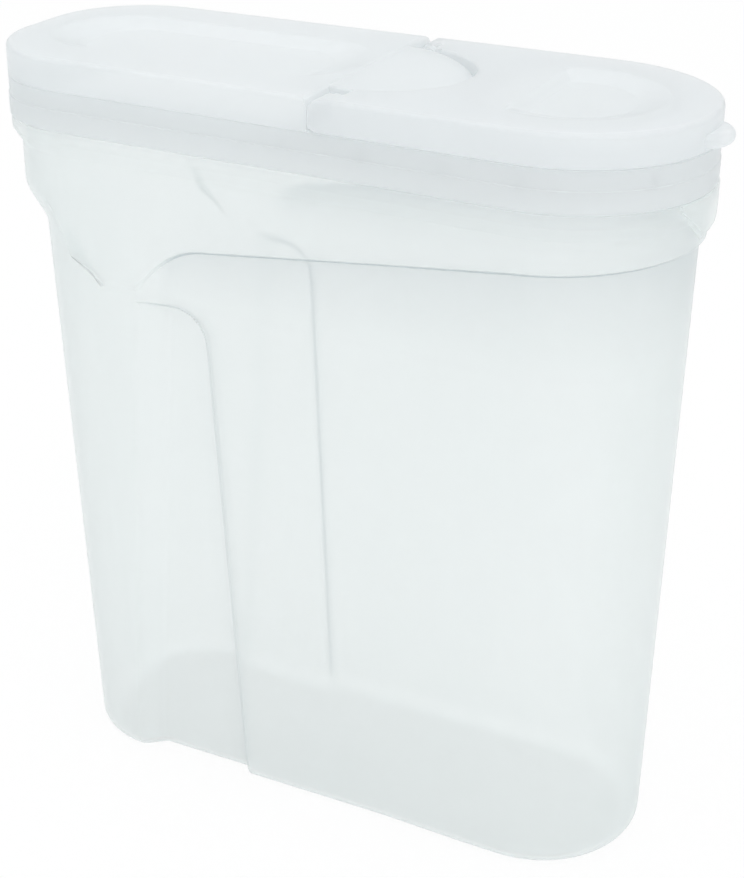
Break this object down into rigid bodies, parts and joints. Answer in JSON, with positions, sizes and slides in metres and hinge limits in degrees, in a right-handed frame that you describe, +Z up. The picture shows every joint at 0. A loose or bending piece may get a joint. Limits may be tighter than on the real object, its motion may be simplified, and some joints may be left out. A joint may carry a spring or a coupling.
{
  "type": "cereal container",
  "caption": "Tall tapered cereal keeper with finger grips at one end and a press-on lid whose hinged flap opens a round pour spout.",
  "frame": {"origin": "on the base, in the plane it stands on, below the middle of the lid's length", "axes": "+X towards the pour end, -X towards the grip end, +Y towards the side away from the camera, +Z up"},
  "size_m": [0.255, 0.096, 0.2737],
  "materials": {
    "tub_plastic": "translucent natural polypropylene, satin",
    "lid_plastic": "translucent natural polypropylene, satin"
  },
  "bodies": {
    "container": {"container_body": "tub_plastic"},
    "lid_body": {"lid": "lid_plastic"},
    "flap": {"spout_flap": "lid_plastic"}
  },
  "joints": [
    {"name": "lid_lift", "type": "slide", "parent": "container", "child": "lid_body", "axis": [0, 0, 1], "range_m": [0, 0.03]},
    {"name": "flap_hinge", "type": "hinge", "parent": "lid_body", "child": "flap", "pos_m": [0.0122, 0, 0.2695], "axis": [0, -1, 0], "range_deg": [0, 105]}
  ]
}
